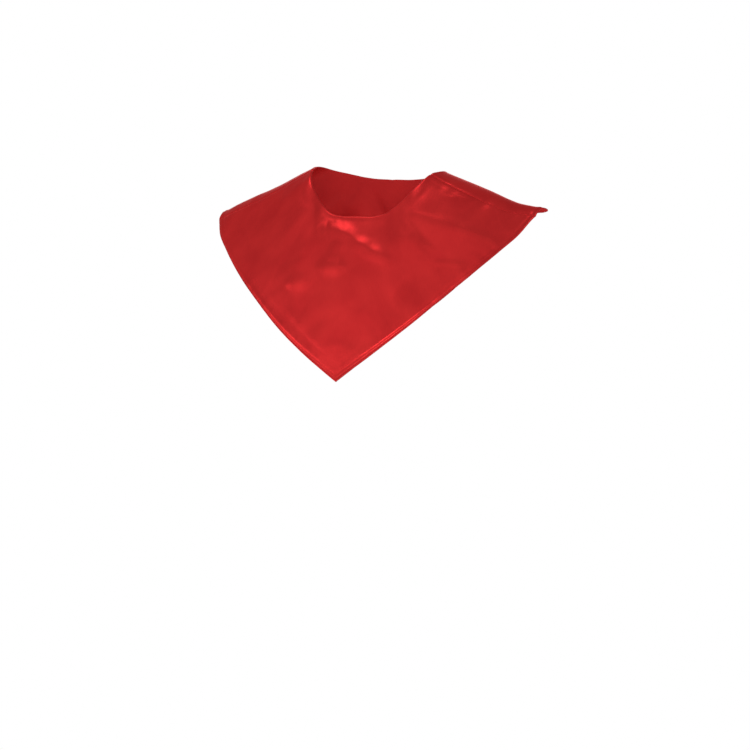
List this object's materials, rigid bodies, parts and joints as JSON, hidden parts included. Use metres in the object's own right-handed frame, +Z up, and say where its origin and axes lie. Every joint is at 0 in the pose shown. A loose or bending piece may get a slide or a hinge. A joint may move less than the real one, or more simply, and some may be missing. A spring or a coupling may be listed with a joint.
{
  "type": "choir stole",
  "caption": "Red satin choir stole in its worn form: a V front and a V back joined at the shoulders round a low neck opening, hollow underneath.",
  "frame": {"origin": "middle of the neck opening, level with the top of the shoulders beside the neck", "axes": "+X towards the wearer's left shoulder, +Y towards the wearer's back, +Z up"},
  "size_m": [0.3998, 0.2051, 0.2436],
  "materials": {
    "red_satin": "smooth red polyester satin with a soft sheen"
  },
  "bodies": {
    "root": {"front_panel": "red_satin", "back_panel": "red_satin"}
  },
  "joints": []
}
